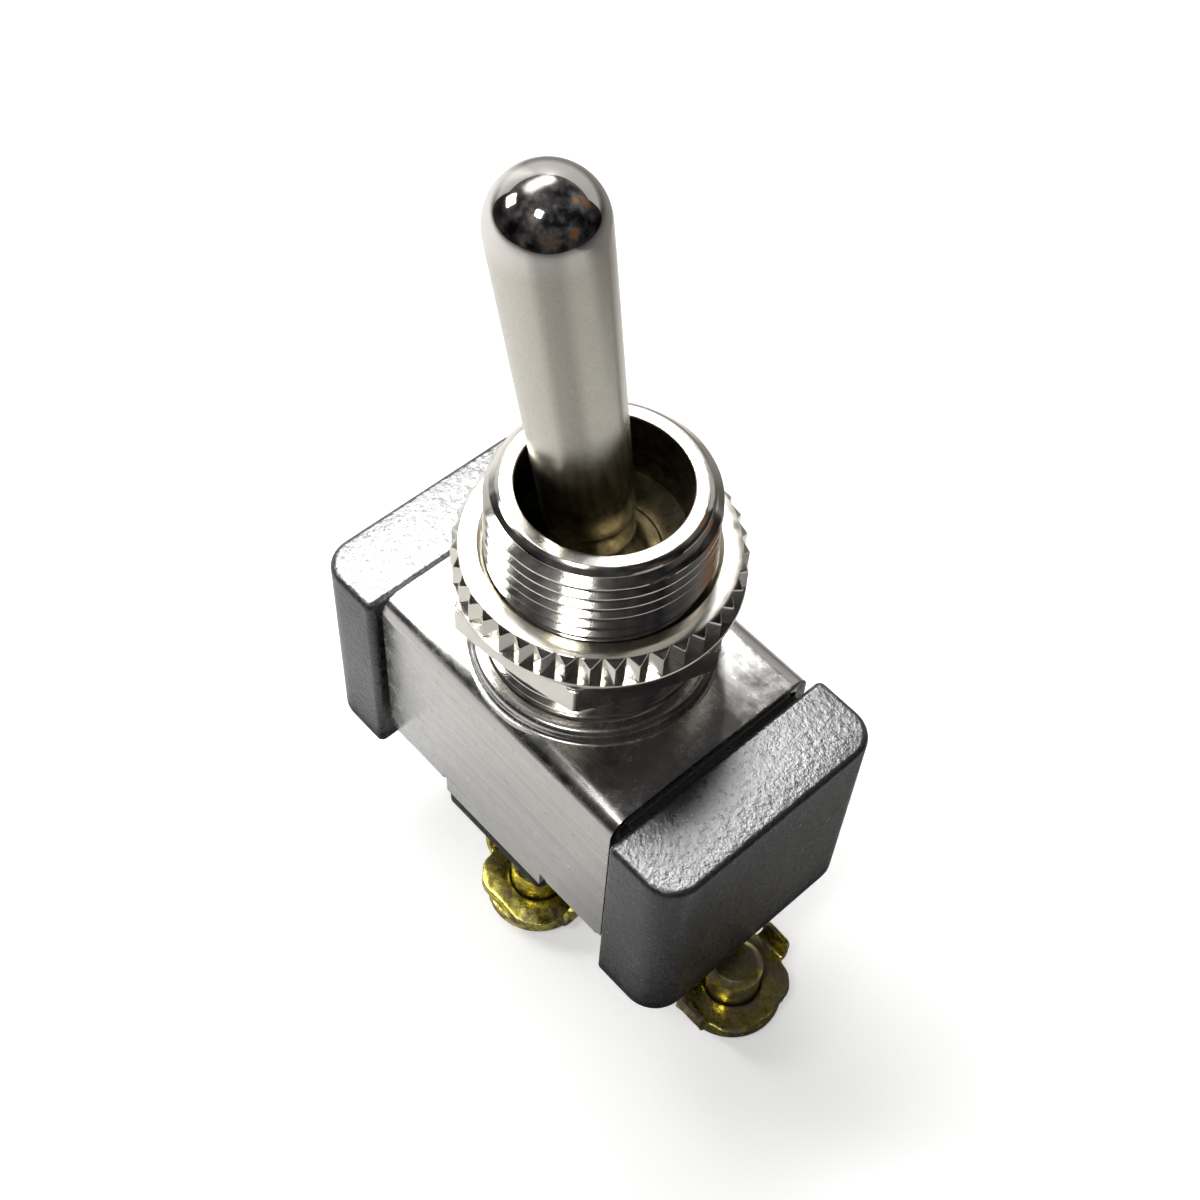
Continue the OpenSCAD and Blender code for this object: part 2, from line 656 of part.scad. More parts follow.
module common_bracket() color([0.8, 0.65, 0.3]) placed() difference() {
    union() {
        translate([-bracket_foot, -wall_y - bracket_sheet, cavity_floor])
            cube([bracket_foot + common_shift + rivet_head / 2, 2 * (wall_y + bracket_sheet), bracket_sheet]);
        for (s = [-1, 1]) translate([0, s * (wall_y + bracket_sheet / 2), 0]) along_y(bracket_sheet) {
            translate([0, -rocker_depth]) circle(nub_radius);
            polygon([[-nub_radius * 0.8, -rocker_depth - nub_radius * 0.6],
                     [nub_radius * 0.8, -rocker_depth - nub_radius * 0.6],
                     [bracket_foot, cavity_floor], [-bracket_foot, cavity_floor]]);
        }
    }
    translate([common_shift, common_rivet_y, cavity_floor - 1])
        cylinder(h = 3, r = rivet_diameter / 2 + hole_clearance);
}

// a rivet through the floor: z0 is the strap's underside, z1 the seat of the inner head
module rivet(z0, z1, head) {
    translate([0, 0, z0]) cylinder(h = z1 - z0, r = rivet_diameter / 2);
    translate([0, 0, z1]) cylinder(h = head, r = rivet_head / 2);
    difference() {
        translate([0, 0, z0 - 0.6]) cylinder(h = 0.6, r1 = rivet_head / 2 - 0.4, r2 = rivet_head / 2);
        translate([0, 0, z0 - 0.7]) cylinder(h = 0.5, r = rivet_diameter / 2 - 0.3);
    }
}

module common_rivet() color([0.78, 0.64, 0.3]) placed() translate([common_shift, common_rivet_y, 0])
    rivet(base_bottom + strap_recess - strap, cavity_floor + bracket_sheet, 0.45);

module contact_rivet() color([0.83, 0.83, 0.8]) placed() translate([end_rivet_x, 0, 0])
    rivet(base_bottom + strap_recess - strap, cavity_floor, contact_face - cavity_floor);

// strap drawn with its rivet at the origin, running out along +X; z = 0 is the base's underside
module terminal_strap(leg) {
    inner = 0.4;
    top = strap_recess;
    tip = leg + tongue_reach;
    level = -flange_drop;
    start = leg + inner;
    ear_start = start + ear_setback;
    difference() {
        union() {
            along_y(strap_width) {
                translate([-strap_width / 2, top - strap])
                    square([strap_width / 2 + leg - strap - inner, strap]);
                translate([leg - strap - inner, top - strap - inner]) bend_section(inner, strap);
                translate([leg - strap, level + inner])
                    square([strap, top - strap - 2 * inner - level]);
                translate([leg + inner, level + inner]) rotate(180) bend_section(inner, strap);
            }
            // tongue with a round outer end
            translate([0, 0, level - strap]) linear_extrude(strap)
                corner_plan(start - tiny, tip, -tongue_width / 2, tongue_width / 2, 0.1, 2.4);
            // web and upturned ears that keep the wire under the screw
            intersection() {
                translate([ear_start, 0, 0]) rotate([90, 0, 90]) linear_extrude(ear_length)
                    for (s = [0, 1]) mirror([s, 0]) {
                        translate([0, level - strap])
                            square([flange_width / 2 - strap - inner, strap]);
                        translate([flange_width / 2 - strap - inner, level + inner]) mirror([0, 1])
                            bend_section(inner, strap);
                        translate([flange_width / 2 - strap, level + inner])
                            square([strap, ear_height - inner]);
                    }
                along_y(flange_width + 2) corner_plan(ear_start, ear_start + ear_length,
                    level - 3 * ear_height, level + ear_height, ear_corner, ear_corner);
            }
        }
        cylinder(h = 3, r = rivet_diameter / 2 + hole_clearance, center = true);
        translate([screw_place(leg), 0, level - 2]) cylinder(h = 3, r = screw_diameter / 2 + hole_clearance);
    }
}

function screw_place(leg) = leg + tongue_reach - tongue_width / 2 + 0.15;

// binding-head screw from below: z = 0 is the tongue's underside
module terminal_screw() {
    slot = 0.9;
    difference() {
        union() {
            cylinder(h = strap + screw_stand - 0.4, r = screw_diameter / 2);
            translate([0, 0, strap + screw_stand - 0.4])
                cylinder(h = 0.4, r1 = screw_diameter / 2, r2 = screw_diameter / 2 - 0.4);
            translate([0, 0, -screw_head_height * 0.45])
                cylinder(h = screw_head_height * 0.45, r = screw_head / 2);
            translate([0, 0, -screw_head_height])
                cylinder(h = screw_head_height * 0.55, r1 = screw_head / 2 - 1.1, r2 = screw_head / 2 - 0.1);
        }
        translate([-screw_head / 2 - 1, -slot / 2, -screw_head_height - 1])
            cube([screw_head + 2, slot, 1 + screw_head_height * 0.55]);
    }
}

// the terminals' places on the base's underside
module end_place_on_base() {
    translate([end_rivet_x, 0, base_bottom]) children();
}

module common_place_on_base() {
    translate([common_shift, common_rivet_y, base_bottom]) rotate(-90) children();
}

module end_terminal() color([0.76, 0.64, 0.25]) placed() end_place_on_base() terminal_strap(end_leg);

module common_terminal() color([0.76, 0.64, 0.25]) placed() common_place_on_base() terminal_strap(common_leg);

module end_screw() color([0.8, 0.68, 0.3]) placed() end_place_on_base()
    translate([screw_place(end_leg), 0, -flange_drop - strap]) rotate(20) terminal_screw();

module common_screw() color([0.8, 0.68, 0.3]) placed() common_place_on_base()
    translate([screw_place(common_leg), 0, -flange_drop - strap]) rotate(65) terminal_screw();

base();
frame();
insulator_card();
bushing();
hex_nut();
ring_nut();
bat_handle();
pivot_pin();
handle_spring();
plunger();
driver_block();
contact_blade();
moving_contact();
common_bracket();
common_rivet();
common_terminal();
common_screw();
contact_rivet();
end_terminal();
end_screw();
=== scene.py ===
"""A panel toggle switch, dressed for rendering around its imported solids.

Lengths in the constants are millimetres; MM turns them into the scene's metres.
Heights count from the panel's rear plane, as the solids' do.
"""

import math

import bmesh
import bpy
import numpy as np
from mathutils import Matrix, Vector


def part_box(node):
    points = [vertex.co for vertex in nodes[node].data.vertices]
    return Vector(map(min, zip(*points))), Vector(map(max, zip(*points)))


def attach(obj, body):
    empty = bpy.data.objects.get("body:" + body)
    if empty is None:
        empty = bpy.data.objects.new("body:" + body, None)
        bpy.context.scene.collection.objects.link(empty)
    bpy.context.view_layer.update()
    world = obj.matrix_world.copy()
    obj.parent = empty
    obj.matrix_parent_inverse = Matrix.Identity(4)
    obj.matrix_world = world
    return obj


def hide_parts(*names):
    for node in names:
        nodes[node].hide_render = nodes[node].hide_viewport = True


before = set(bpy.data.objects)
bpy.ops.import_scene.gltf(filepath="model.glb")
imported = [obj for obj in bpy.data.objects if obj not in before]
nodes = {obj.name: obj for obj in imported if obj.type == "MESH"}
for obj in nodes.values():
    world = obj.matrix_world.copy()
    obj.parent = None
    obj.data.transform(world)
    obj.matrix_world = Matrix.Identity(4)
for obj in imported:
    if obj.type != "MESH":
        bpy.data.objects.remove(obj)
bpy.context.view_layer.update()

MM = 0.001
TAU = 2 * math.pi
NEAR = 2e-7  # metres within which the loose corners of a solid's mesh are one
FLAT = math.radians(0.5)  # faces that turn by less than this are one flat

# ---- sizes read from the solids, in millimetres ----


def low(node, axis):
    """Lowest coordinate of a CAD node along one axis, in millimetres."""
    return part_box(node)[0][axis] / MM


def high(node, axis):
    """Highest coordinate of a CAD node along one axis, in millimetres."""
    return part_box(node)[1][axis] / MM


HEX_BOTTOM = low("hex_nut", 2)
HEX_TOP = high("hex_nut", 2)
RING_TOP = high("ring_nut", 2)
RIM = high("bushing", 2)
STAKE_BOTTOM = low("bushing", 2)
BOSS_TOP = high("frame", 2)
BODY_BOTTOM = low("base", 2)

# ---- bushing ----
THREAD_RADIUS = 5.95
THREAD_PITCH = 25.4 / 32
THREAD_DEPTH = 0.48
THREAD_FLAT = 0.13  # share of a half pitch that the crest and the root keep flat, each
THREAD_ROWS = 14  # rows of the mesh in one pitch
LEAD_CHAMFER = 0.72
RIM_ROUND = 0.1
BORE_RADIUS = 4.42
THROAT_RADIUS = 3.2
FRAME_FACE = BOSS_TOP - 0.8
PIVOT = FRAME_FACE + 6.0
SOCKET_RADIUS = 3.85
SOCKET_SKIRT = 3.0  # straight part of the socket below the pivot
SOCKET_FLARE = 0.6
NECK_RADIUS = 5.1
STAKE_RADIUS = 5.7
PIN_SLOT_HALF = 0.85
PIN_SLOT_REACH = 4.9

# ---- nuts ----
NUT_BORE = 5.98
NUT_LEAD = 0.3
HEX_FLAT = 6.8
HEX_CHAMFER = 0.35
HEX_TURN = math.radians(-51.4)
RING_RADIUS = 7.65
RING_FLANGE = 0.24
RING_BEVEL = 0.42
KNURL_COUNT = 39
KNURL_DEPTH = 0.5
KNURL_INSET = 0.03  # the crests stand this far inside the flange
EDGE_ROUND = 0.012  # softness of the nuts' turned edges

# ---- handle, with distances along it counted from the pivot ----
SWING = math.radians(12.6)
BALL_RADIUS = 3.8
HANDLE_NECK = 2.25
STEM_START = 4.5
STEM_RADIUS = 2.36
TIP_REACH = 21.24
TIP_RADIUS = 2.93
TAIL_REACH = 9.4
TAIL_RADIUS = 2.3
TAIL_BORE = 1.67
TAIL_ROUND = 0.2
SPRING_SEAT = 1.5

# ---- terminals ----
VOXEL = 0.13
RELAXING = 7  # smoothing passes over the voxel copy
EAR_START = 2.9
EAR_DRAW = 0.62
LUMP = 0.22

# ---- mesh helpers ----


def mesh_piece(name, verts, faces, material):
    """An object at the origin from vertices in millimetres and quads or triangles."""
    mesh = bpy.data.meshes.new(name)
    mesh.from_pydata((np.asarray(verts) * MM).tolist(), [], faces.tolist())
    mesh.validate()
    mesh.update()
    smooth(mesh)
    mesh.materials.append(material)
    return link(name, mesh)


def grid_faces(rows, columns, wrap_rows, wrap_columns):
    """Quads between neighbouring samples of a rows by columns grid."""
    i, j = np.meshgrid(np.arange(rows if wrap_rows else rows - 1),
                       np.arange(columns if wrap_columns else columns - 1), indexing="ij")
    i, j = i.ravel(), j.ravel()
    a, b = (i + 1) % rows, (j + 1) % columns
    return np.stack([i * columns + j, i * columns + b, a * columns + b, a * columns + j], axis=1)


def smooth(mesh):
    """Shades every face of a mesh smooth."""
    mesh.polygons.foreach_set("use_smooth", np.ones(len(mesh.polygons), bool))


def link(name, mesh):
    """A new object at the origin around a mesh."""
    piece = bpy.data.objects.new(name, mesh)
    bpy.context.scene.collection.objects.link(piece)
    return piece


def place_piece(piece, body, node):
    """Puts a piece on the body that it rides on and hides the CAD node that it stands for."""
    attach(piece, body)
    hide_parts(node)


def soft_min(a, b, round_off):
    """The smaller of two lengths, with the corner between them rounded off."""
    return -round_off * np.logaddexp(-a / round_off, -b / round_off)


def softened(name, node, body, width):
    """A CAD node's shape with its sharp edges rounded by a bevel of a width in millimetres."""
    mesh = nodes[node].data.copy()
    mesh.name = name
    form = bmesh.new()
    form.from_mesh(mesh)
    bmesh.ops.remove_doubles(form, verts=form.verts, dist=NEAR)
    bmesh.ops.dissolve_limit(form, angle_limit=FLAT, verts=form.verts, edges=form.edges)
    form.to_mesh(mesh)
    form.free()
    smooth(mesh)
    piece = link(name, mesh)
    bevel = piece.modifiers.new("rounded_edges", "BEVEL")
    bevel.width = width * MM
    bevel.segments = 3
    bevel.limit_method = "ANGLE"
    bevel.angle_limit = math.radians(40)
    bevel.harden_normals = True
    place_piece(piece, body, node)


def merge_doubles(mesh, distance=1e-7):
    """Joins vertices that lie in one place, such as those of a pole."""
    form = bmesh.new()
    form.from_mesh(mesh)
    bmesh.ops.remove_doubles(form, verts=form.verts, dist=distance)
    form.to_mesh(mesh)
    form.free()


def ring_piece(name, radii, heights, material, degrees=35, seam=None):
    """A closed ring about Z: a row of radii and heights is one loop, a column one angle.

    The point at row k and angle t is (radius cos t, radius sin t, height), and rows wrap round.
    Where the loops are a helix, seam gives the row that each row's last column joins. Edges
    sharper than degrees stay sharp.
    """
    rows, columns = radii.shape
    t = np.arange(columns) * TAU / columns
    points = np.stack([radii * np.cos(t), radii * np.sin(t), heights], axis=-1).reshape(-1, 3)
    faces = grid_faces(rows, columns, True, True)
    if seam is not None:
        for corner, other in ((1, 0), (2, 3)):
            last = faces[:, other] % columns == columns - 1
            crossing = last & (faces[:, corner] % columns == 0)
            faces[crossing, corner] = seam[faces[crossing, other] // columns] * columns
    piece = mesh_piece(name, points, faces, material)
    merge_doubles(piece.data)
    piece.data.set_sharp_from_angle(angle=math.radians(degrees))
    return piece


def arc(cx, cz, radius, start, end, count):
    """Points of a circular arc in the section plane, angles in degrees."""
    a = np.radians(np.linspace(start, end, count))
    return np.stack([cx + radius * np.cos(a), cz + radius * np.sin(a)], axis=1)


def line(x0, z0, x1, z1, count):
    """Evenly spaced points from one section point towards another, without the last."""
    s = np.linspace(0, 1, count, endpoint=False)[:, None]
    return np.array([x0, z0]) * (1 - s) + np.array([x1, z1]) * s


# ---- shader helpers ----


class Nodes:
    """A shader's node tree, with short calls for the nodes that this scene's shaders share."""

    def __init__(self, owner, coordinates):
        owner.use_nodes = True
        self.tree = owner.node_tree
        self.place = self.add("ShaderNodeTexCoord").outputs[coordinates]

    def add(self, kind, **settings):
        """A new node with some of its own settings changed."""
        node = self.tree.nodes.new(kind)
        for key, value in settings.items():
            setattr(node, key, value)
        return node

    def put(self, value, socket):
        """Links another node's output into a socket, or sets a number, a vector or a colour."""
        if isinstance(value, bpy.types.NodeSocket):
            self.tree.links.new(value, socket)
        elif socket.type == "RGBA":
            socket.default_value = (*value, 1)
        else:
            socket.default_value = value

    def texture(self, scale, detail, rough, where=None):
        """Noise from 0 to 1 with scale cells to a unit of its coordinates."""
        node = self.add("ShaderNodeTexNoise")
        self.put(where or self.place, node.inputs["Vector"])
        self.put(scale, node.inputs["Scale"])
        self.put(detail, node.inputs["Detail"])
        self.put(rough, node.inputs["Roughness"])
        return node.outputs["Fac"]

    def ramp(self, fac, *stops):
        """A colour ramp through (position, value or colour) stops."""
        node = self.add("ShaderNodeValToRGB")
        cells = node.color_ramp.elements
        while len(cells) < len(stops):
            cells.new(0.5)
        for cell, (at, value) in zip(cells, stops):
            cell.position = at
            cell.color = (*value, 1) if isinstance(value, tuple) else (value, value, value, 1)
        self.put(fac, node.inputs["Fac"])
        return node.outputs["Color"]

    def mix(self, fac, a, b):
        """Colour a where fac is 0 and b where it is 1."""
        node = self.add("ShaderNodeMix", data_type="RGBA")
        self.put(fac, node.inputs[0])
        self.put(a, node.inputs[6])
        self.put(b, node.inputs[7])
        return node.outputs[2]

    def math(self, operation, value, *others):
        """A Math node over two values, or a chain of them over more."""
        for other in others:
            node = self.add("ShaderNodeMath", operation=operation)
            self.put(value, node.inputs[0])
            self.put(other, node.inputs[1])
            value = node.outputs[0]
        return value

    def along(self, direction):
        """The shaded point's distance from the origin along a unit vector."""
        node = self.add("ShaderNodeVectorMath", operation="DOT_PRODUCT")
        self.put(self.place, node.inputs[0])
        self.put(direction, node.inputs[1])
        return node.outputs["Value"]

    def distance(self, weights=(1, 1, 1)):
        """The shaded point's distance from the origin, with each axis weighted first."""
        weighted = self.add("ShaderNodeVectorMath", operation="MULTIPLY")
        self.put(self.place, weighted.inputs[0])
        self.put(weights, weighted.inputs[1])
        length = self.add("ShaderNodeVectorMath", operation="LENGTH")
        self.put(weighted.outputs["Vector"], length.inputs[0])
        return length.outputs["Value"]

    def rise(self, value, start, end, least=0.0):
        """From least, where a value is at start, to 1, where it is at end; held beyond both."""
        node = self.add("ShaderNodeMapRange")
        self.put(value, node.inputs["Value"])
        self.put(start, node.inputs["From Min"])
        self.put(end, node.inputs["From Max"])
        self.put(least, node.inputs["To Min"])
        return node.outputs["Result"]


class Recipe(Nodes):
    """A finish: a Principled material with its patterns sized in millimetres."""

    SOCKETS = {
        "colour": "Base Color", "metal": "Metallic", "rough": "Roughness",
        "specular": "Specular IOR Level", "glow": "Emission Color",
        "glow_strength": "Emission Strength",
    }

    def __init__(self, name):
        self.material = bpy.data.materials.new(name)
        super().__init__(self.material, "Object")
        self.shader = self.tree.nodes["Principled BSDF"]

    def set(self, **values):
        """Sets or links the shader's own sockets."""
        for key, value in values.items():
            self.put(value, self.shader.inputs[self.SOCKETS[key]])

    def noise(self, size, detail=3.0, rough=0.55):
        """Noise whose cells are about size millimetres across."""
        return self.texture(1 / (size * MM), detail, rough)

    def streaks(self, along_x, across, detail, rough):
        """Noise drawn out along X, with so many cells to a metre along it and across it."""
        mapping = self.add("ShaderNodeMapping")
        self.put(self.place, mapping.inputs["Vector"])
        self.put((along_x, across, across), mapping.inputs["Scale"])
        return self.texture(1.0, detail, rough, mapping.outputs["Vector"])

    def bump(self, height, depth):
        """Bumps depth millimetres high; several calls stack."""
        node = self.add("ShaderNodeBump")
        node.inputs["Strength"].default_value = 1.0
        node.inputs["Distance"].default_value = depth * MM
        self.put(height, node.inputs["Height"])
        normal = self.shader.inputs["Normal"]
        if normal.is_linked:
            self.put(normal.links[0].from_socket, node.inputs["Normal"])
        self.put(node.outputs["Normal"], normal)


# ---- finishes ----

UP = (0, 0, 1)
NICKEL_LIGHT = (0.80, 0.77, 0.71)
NICKEL_DARK = (0.70, 0.67, 0.60)
TIP_BLEND = 1.2  # length over which the bat's satin turns to its tip's polish
BORE_SHADE_BLEND = 3.0  # length over which the stem's painted shade in the bore fades out, about the rim
FOOT_SHADE_BLEND = 5.5  # height over which the painted shade at the moulding's foot, a lowered specular, fades out


def plated(name, light, dark, rough):
    """Plated metal: faint cloudy tone, uneven polish and a skin of very fine marks."""
    r = Recipe(name)
    r.set(metal=1.0, colour=r.ramp(r.noise(2.5), (0.3, dark), (0.7, light)))
    polish = r.noise(0.9, 5.0, 0.7)
    r.set(rough=r.ramp(polish, (0.3, rough * 0.75), (0.75, rough * 1.35)))
    r.bump(r.noise(0.12, 3.0), 0.0004)
    r.bump(r.noise(0.8, 2.0), 0.003)
    return r.material


def bushing_plating():
    """Nickel outside, with the bore dull from thin plating and its colour darkened as painted
    shade.
    """
    r = Recipe("bushing_plating")
    inner = r.math("LESS_THAN", r.distance((1, 1, 0)), (BORE_RADIUS + 0.02) * MM)
    plate = r.ramp(r.noise(2.5), (0.3, NICKEL_DARK), (0.7, NICKEL_LIGHT))
    # painted shade: the bore's dark brownish mottled colour stands in for the shade down in the
    # recess
    bore_shade_mottle = r.noise(1.2, 5.0, 0.7)
    painted_bore_shade = r.ramp(bore_shade_mottle, (0.35, (0.05, 0.042, 0.03)), (0.7, (0.24, 0.21, 0.13)))
    r.set(metal=1.0, colour=r.mix(inner, plate, painted_bore_shade))
    skin = r.ramp(r.noise(0.9, 5.0, 0.7), (0.3, 0.08), (0.75, 0.18))
    r.set(rough=r.mix(inner, skin, (0.3, 0.3, 0.3)))
    r.bump(r.noise(0.12, 3.0), 0.0004)
    return r.material


def bat_plating():
    """Satin nickel on the stem, a mirror-bright round tip, and painted shade on the stem down in
    the bore.
    """
    r = Recipe("bat_plating")
    axis = Vector((-math.sin(SWING), 0, math.cos(SWING)))
    reach = r.along(axis)

    def beyond(start, width):
        """0 at a distance from the pivot in millimetres, rising to 1 over a width."""
        start += axis.z * PIVOT
        return r.rise(reach, start * MM, (start + width) * MM)

    tip = beyond(TIP_REACH - 1.0, TIP_BLEND)
    # 0 down in the bore, where the stem's colour is darkened as painted shade, rising to 1 above
    # the rim
    clean_and_unshaded = beyond((RIM - PIVOT) / axis.z - BORE_SHADE_BLEND / 2, BORE_SHADE_BLEND)
    grain = r.noise(0.14, 4.0, 0.7)
    satin = r.ramp(grain, (0.3, (0.55, 0.53, 0.46)), (0.7, (0.66, 0.63, 0.56)))
    # painted shade: dark mottled colour for the stem down in the bore
    bore_shade_mottle = r.noise(0.9, 4.0, 0.65)
    painted_bore_shade = r.ramp(bore_shade_mottle, (0.35, (0.1, 0.085, 0.06)), (0.65, (0.36, 0.31, 0.2)))
    r.set(metal=1.0, colour=r.mix(tip, r.mix(clean_and_unshaded, painted_bore_shade, satin), (0.74, 0.71, 0.67)))
    polish = r.ramp(r.noise(0.8, 5.0, 0.7), (0.3, 0.19), (0.75, 0.27))
    r.set(rough=r.mix(tip, polish, (0.07, 0.07, 0.07)))
    r.bump(r.math("MULTIPLY", grain, r.math("SUBTRACT", 1.0, tip)), 0.0025)
    return r.material


def moulded_phenolic():
    """Black phenolic moulding: pebbled satin skin, fine speckle, patches of dust, and painted
    shade at the foot, where the specular drops.
    """
    r = Recipe("moulded_phenolic")
    speckle = r.noise(0.16, 6.0, 0.75)
    skin = r.ramp(speckle, (0.35, (0.013, 0.013, 0.014)), (0.72, (0.034, 0.034, 0.036)))
    dust = r.ramp(r.noise(0.11, 4.0, 0.7), (0.6, 0.0), (0.68, 1.0))
    patch = r.ramp(r.noise(2.6, 4.0, 0.65), (0.5, 0.0), (0.62, 1.0))
    r.set(colour=r.mix(r.math("MULTIPLY", dust, patch), skin, (0.4, 0.4, 0.39)))
    r.set(rough=r.ramp(r.noise(0.3, 5.0, 0.7), (0.35, 0.24), (0.65, 0.36)))
    # painted shade: the specular drops towards the bottom, standing in for the shadowed floor that
    # the foot reflects
    foot = BODY_BOTTOM + 0.5
    above_foot_shade = r.rise(r.along(UP), foot * MM, (foot + FOOT_SHADE_BLEND) * MM)
    r.set(specular=r.ramp(above_foot_shade, (0.0, 0.02), (1.0, 0.75)))
    r.bump(r.noise(0.34, 3.0, 0.6), 0.05)
    r.bump(r.noise(0.12, 2.0), 0.006)
    return r.material


def rolled_steel():
    """Bright plated sheet: rolling lines along X, slight waves and scuffs."""
    r = Recipe("rolled_steel")
    lines = r.streaks(90, 9000, 4.0, 0.6)
    tone = r.ramp(lines, (0.3, (0.46, 0.45, 0.43)), (0.7, (0.64, 0.63, 0.6)))
    r.set(metal=1.0, colour=tone)
    r.set(rough=r.ramp(r.noise(1.2, 5.0, 0.7), (0.3, 0.16), (0.75, 0.34)))
    r.bump(lines, 0.0014)
    r.bump(r.noise(6, 1.0), 0.02)
    return r.material


def stamped_brass(name, threshold, stain):
    """Stamped yellow brass, lumpy, stained with tarnish where a noise is below a threshold."""
    r = Recipe(name)
    tarnish = r.noise(1.5, 5.0, 0.7)
    clean_and_unshaded = r.ramp(r.noise(0.35, 3.0), (0.3, (0.52, 0.44, 0.08)), (0.7, (0.74, 0.67, 0.17)))
    stained = r.ramp(tarnish, (threshold - 0.05, 1.0), (threshold + 0.05, 0.0))
    r.set(metal=1.0, colour=r.mix(stained, clean_and_unshaded, stain))
    r.set(rough=r.ramp(tarnish, (threshold - 0.05, 0.5), (threshold + 0.08, 0.27)))
    r.bump(r.noise(1.6, 2.0), 0.11)
    r.bump(r.noise(0.3, 3.0), 0.01)
    return r.material


def plain_metal(name, light, dark, rough):
    """Bare metal of an inner piece, with drawn or stamped grain."""
    r = Recipe(name)
    r.set(metal=1.0, colour=r.ramp(r.noise(0.5, 4.0), (0.3, dark), (0.7, light)))
    r.set(rough=r.ramp(r.noise(0.3, 4.0), (0.3, rough * 0.8), (0.7, rough * 1.2)))
    r.bump(r.noise(0.1, 3.0), 0.0008)
    return r.material


def fibre_board(name, light, dark):
    """Pressed fibre or paper laminate: matt, with short mottled fibres."""
    r = Recipe(name)
    fibres = r.streaks(1500, 7000, 5.0, 0.7)
    r.set(colour=r.ramp(fibres, (0.3, dark), (0.7, light)), rough=0.62)
    r.bump(fibres, 0.006)
    return r.material


nickel = plated("nickel_plate", NICKEL_LIGHT, NICKEL_DARK, 0.15)
bat = bat_plating()
bushing_nickel = bushing_plating()
phenolic = moulded_phenolic()
steel = rolled_steel()
brass = stamped_brass("stamped_brass", 0.45, (0.15, 0.12, 0.075))
dull_brass = stamped_brass("dull_brass", 0.52, (0.28, 0.23, 0.15))
pin_steel = plain_metal("ground_steel", (0.62, 0.62, 0.63), (0.5, 0.5, 0.52), 0.25)
wire = plain_metal("spring_wire", (0.5, 0.5, 0.52), (0.38, 0.38, 0.4), 0.3)
bronze = plain_metal("bronze_strip", (0.8, 0.5, 0.3), (0.65, 0.38, 0.2), 0.28)
silver = plain_metal("contact_silver", (0.9, 0.9, 0.88), (0.78, 0.78, 0.76), 0.2)
card = fibre_board("fibre_card", (0.32, 0.27, 0.2), (0.2, 0.17, 0.12))
laminate = fibre_board("brown_laminate", (0.3, 0.15, 0.07), (0.17, 0.08, 0.035))

FINISHES = {
    "base": phenolic, "frame": steel, "insulator_card": card, "bushing": bushing_nickel,
    "hex_nut": nickel, "ring_nut": nickel, "bat_handle": bat, "pivot_pin": pin_steel,
    "handle_spring": wire, "plunger": brass, "driver_block": laminate, "contact_blade": bronze,
    "moving_contact": silver, "common_bracket": brass, "common_rivet": brass,
    "common_terminal": brass, "common_screw": brass, "contact_rivet": silver,
    "end_terminal": dull_brass, "end_screw": dull_brass,
}
for name, finish in FINISHES.items():
    mesh = nodes[name].data
    mesh.materials.clear()
    mesh.materials.append(finish)


# ---- bushing ----


